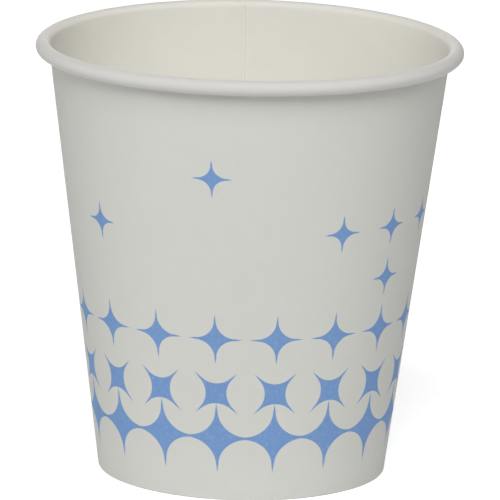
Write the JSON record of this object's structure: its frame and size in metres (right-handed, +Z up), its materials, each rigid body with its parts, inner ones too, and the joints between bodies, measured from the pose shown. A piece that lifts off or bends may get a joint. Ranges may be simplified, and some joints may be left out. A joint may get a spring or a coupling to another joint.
{
  "type": "paper cup",
  "caption": "Tapered single-wall paper drinking cup with a rolled rim, a lapped side seam and a recessed base sealed inside the folded foot.",
  "frame": {"origin": "centre of the foot, on the surface that the cup stands on", "axes": "+Z up along the cup's axis; the side seam is at the back, towards +Y"},
  "size_m": [0.09, 0.09, 0.0922],
  "materials": {
    "wall_board": "matte",
    "base_board": "matte"
  },
  "bodies": {
    "root": {"sidewall": "wall_board", "base": "base_board"}
  },
  "joints": []
}
